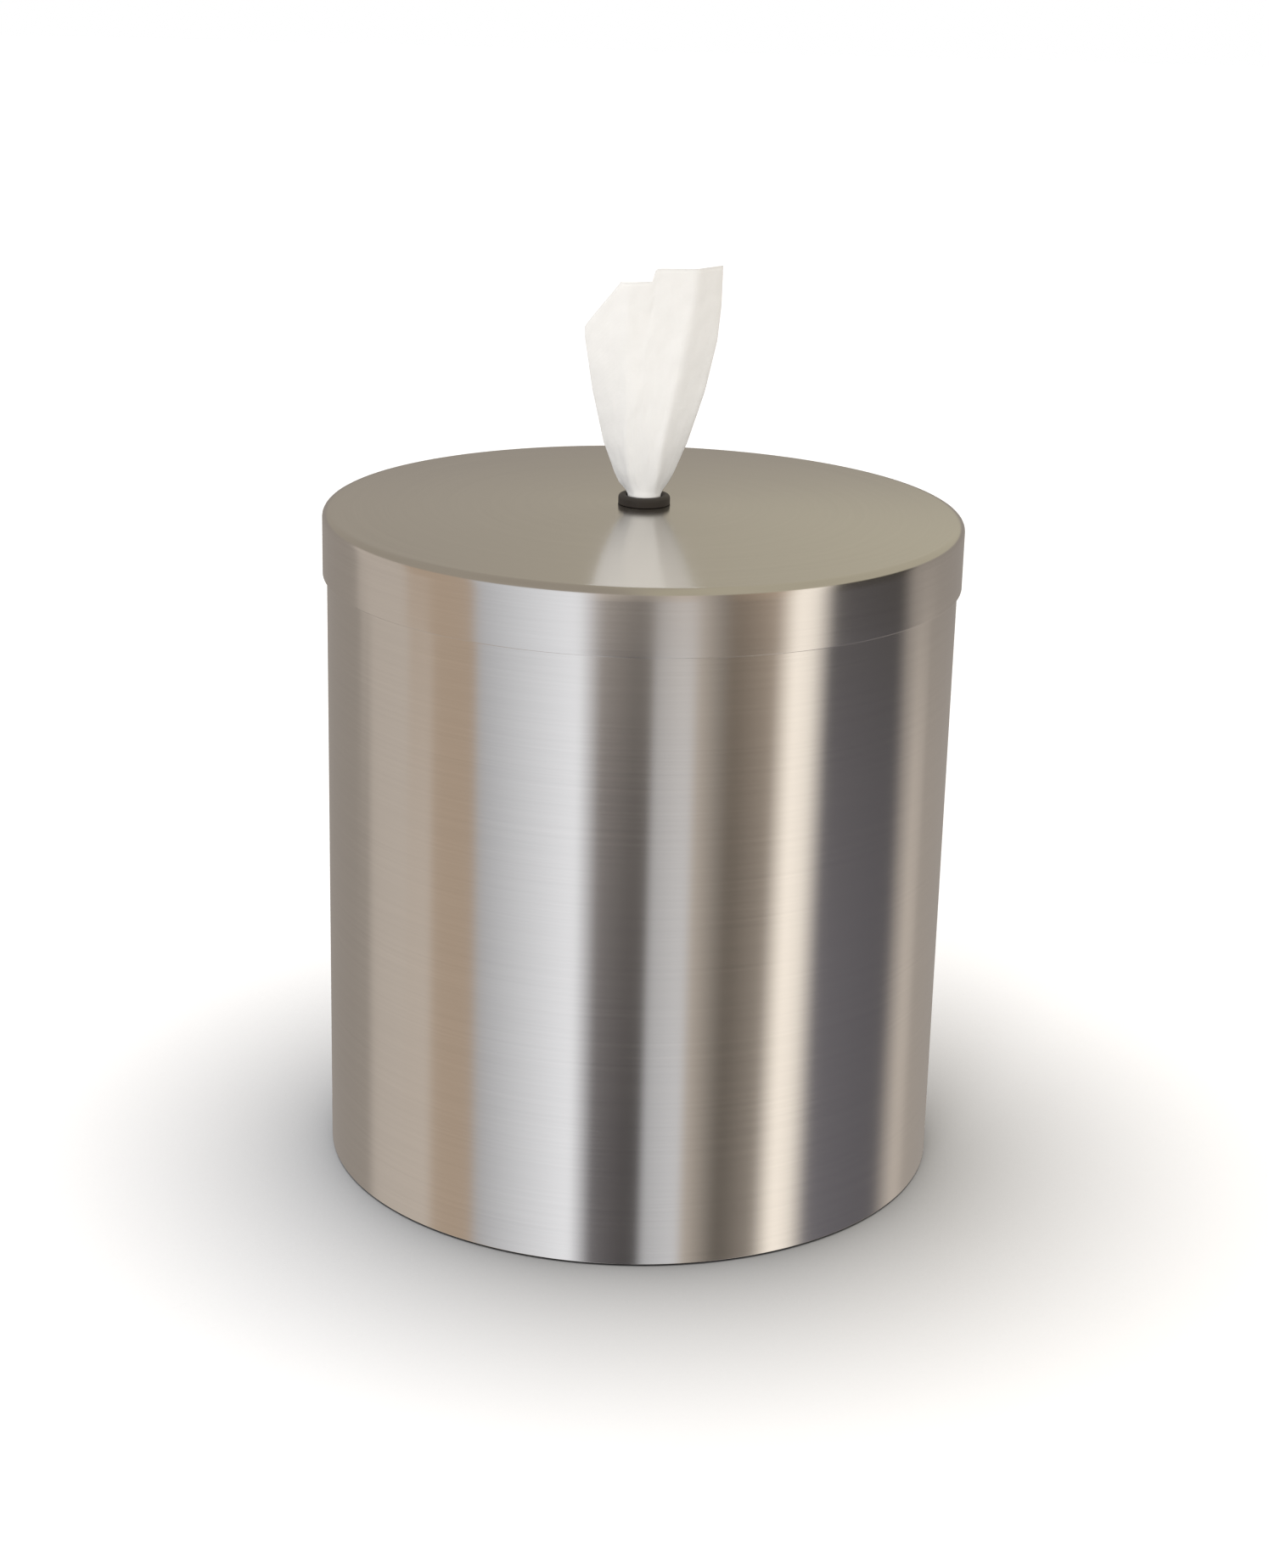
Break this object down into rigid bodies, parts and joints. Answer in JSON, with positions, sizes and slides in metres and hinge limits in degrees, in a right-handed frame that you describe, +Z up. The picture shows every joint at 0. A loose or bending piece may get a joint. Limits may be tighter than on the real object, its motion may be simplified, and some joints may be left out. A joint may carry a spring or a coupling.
{
  "type": "centre-pull napkin dispenser",
  "caption": "Round brushed steel countertop canister with a slip-on lid; a napkin from the roll inside is drawn up through a rubber grommet in the lid's centre.",
  "frame": {"origin": "under the drum's axis, on the surface that the feet stand on", "axes": "+Z up along the drum's axis, -Y towards the front that the picture shows, +X to its right"},
  "size_m": [0.24, 0.24, 0.3455],
  "materials": {
    "drum_steel": "brushed round the drum",
    "lid_steel": "brushed, band brushed round",
    "base_steel": "dull mill finish",
    "fastener_steel": "plain stainless",
    "foot_rubber": "moulded, matt",
    "grommet_rubber": "moulded, satin",
    "seal_foam": "closed-cell foam",
    "tray_plastic": "moulded, matt",
    "napkin_web": "soft embossed airlaid web",
    "band_paper": "plain kraft paper"
  },
  "bodies": {
    "drum": {"drum_wall": "drum_steel", "base_pan": "base_steel", "foot_front_left": "foot_rubber", "foot_front_right": "foot_rubber", "foot_rear_left": "foot_rubber", "foot_rear_right": "foot_rubber", "foot_screws": "fastener_steel", "foot_cup_washers": "fastener_steel", "foot_lock_washers": "fastener_steel", "foot_nuts": "fastener_steel", "roll_tray": "tray_plastic", "napkin_roll": "napkin_web", "roll_band": "band_paper", "loose_turns": "napkin_web"},
    "lid": {"lid_cap": "lid_steel", "lid_seal": "seal_foam", "grommet": "grommet_rubber"},
    "napkin": {"lead_napkin": "napkin_web", "next_napkin": "napkin_web"}
  },
  "joints": [
    {"name": "lid_lift", "type": "slide", "parent": "drum", "child": "lid", "axis": [0, 0, 1], "range_m": [0, 0.1]},
    {"name": "napkin_pull", "type": "slide", "parent": "lid", "child": "napkin", "axis": [0, 0, 1], "range_m": [0, 0.09]}
  ]
}
